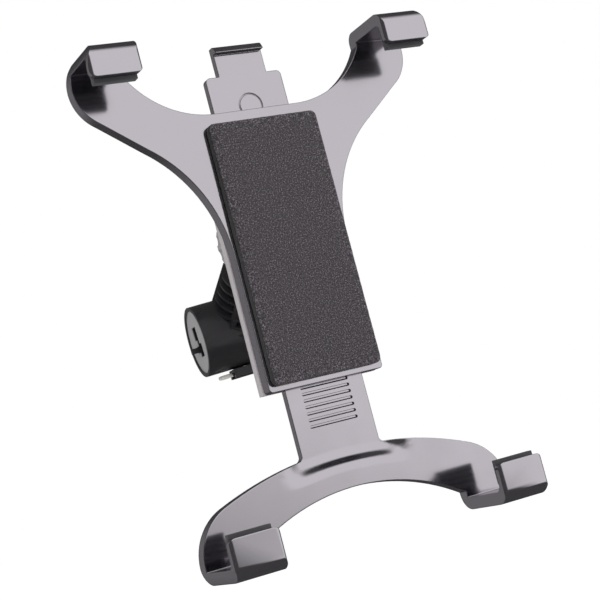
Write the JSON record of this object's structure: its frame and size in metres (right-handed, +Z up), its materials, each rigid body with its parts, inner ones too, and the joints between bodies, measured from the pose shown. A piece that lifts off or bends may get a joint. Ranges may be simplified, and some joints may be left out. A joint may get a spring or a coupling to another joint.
{
  "type": "headrest tablet mount",
  "caption": "Hooked tablet cradle with a foam pad, sliding lower bracket and top hook, on a ball joint whose ribbed neck ends in a headrest clamp drum.",
  "frame": {"origin": "centre of the foam pad's front face, where the tablet's back rests", "axes": "+X to the right as seen from the front, -Y towards the viewer and the tablet, +Z up along the body"},
  "size_m": [0.1476, 0.1091, 0.2032],
  "materials": {
    "gloss_black": "polished black ABS",
    "cover_plastic": "smooth grey-black ABS",
    "foam": "fine cellular EVA foam",
    "liner": "matte black rubber",
    "satin_black": "satin black nylon",
    "pale_plastic": "light grey moulded plastic",
    "natural_nylon": "natural nylon",
    "steel": "plain steel"
  },
  "bodies": {
    "headrest_clamp": {"neck_housing": "satin_black", "clamp_core": "pale_plastic", "core_screws": "steel", "lever_pin": "steel"},
    "latch": {"latch_bar": "satin_black"},
    "lever": {"lock_lever": "satin_black"},
    "seat": {"ball_seat": "natural_nylon"},
    "socket": {"swivel_collar": "satin_black"},
    "nut": {"lock_nut": "pale_plastic"},
    "cradle": {"front_shell": "gloss_black", "rear_cover": "cover_plastic", "foam_pad": "foam", "upper_left_liner": "liner", "upper_right_liner": "liner", "bracket_detent": "steel", "hook_detent": "steel", "cover_screws": "steel"},
    "bracket": {"lower_bracket": "gloss_black", "lower_left_liner": "liner", "lower_right_liner": "liner"},
    "top_hook": {"centre_hook": "gloss_black"}
  },
  "joints": [
    {"name": "ball_tilt", "type": "hinge", "parent": "headrest_clamp", "child": "seat", "pos_m": [0, 0.035, 0.009], "axis": [0.984, -0.17, 0.0541], "range_deg": [-88, 2]},
    {"name": "ball_pan", "type": "hinge", "parent": "seat", "child": "socket", "pos_m": [0, 0.035, 0.009], "axis": [0, 0, 1], "range_deg": [-32, 13]},
    {"name": "cradle_spin", "type": "hinge", "parent": "socket", "child": "cradle", "pos_m": [0, 0.035, 0.009], "axis": [0, 1, 0], "continuous": true},
    {"name": "lock_nut_turn", "type": "hinge", "parent": "socket", "child": "nut", "pos_m": [0, 0.035, 0.009], "axis": [0, 1, 0], "range_deg": [-20, 340]},
    {"name": "lower_bracket_slide", "type": "slide", "parent": "cradle", "child": "bracket", "axis": [0, 0, 1], "range_m": [-0.033, 0.02]},
    {"name": "centre_hook_slide", "type": "slide", "parent": "cradle", "child": "top_hook", "axis": [0, 0, 1], "range_m": [-0.02, 0]},
    {"name": "lock_lever_pull", "type": "hinge", "parent": "headrest_clamp", "child": "lever", "pos_m": [0.01868, 0.06346, -0.03798], "axis": [-0.1702, -0.9854, 0], "range_deg": [0, 5], "stiffness_Nm_per_rad": 0.05},
    {"name": "latch_press", "type": "slide", "parent": "headrest_clamp", "child": "latch", "axis": [0.984, -0.17, 0.0541], "range_m": [0, 0.002], "stiffness_N_per_m": 200}
  ]
}
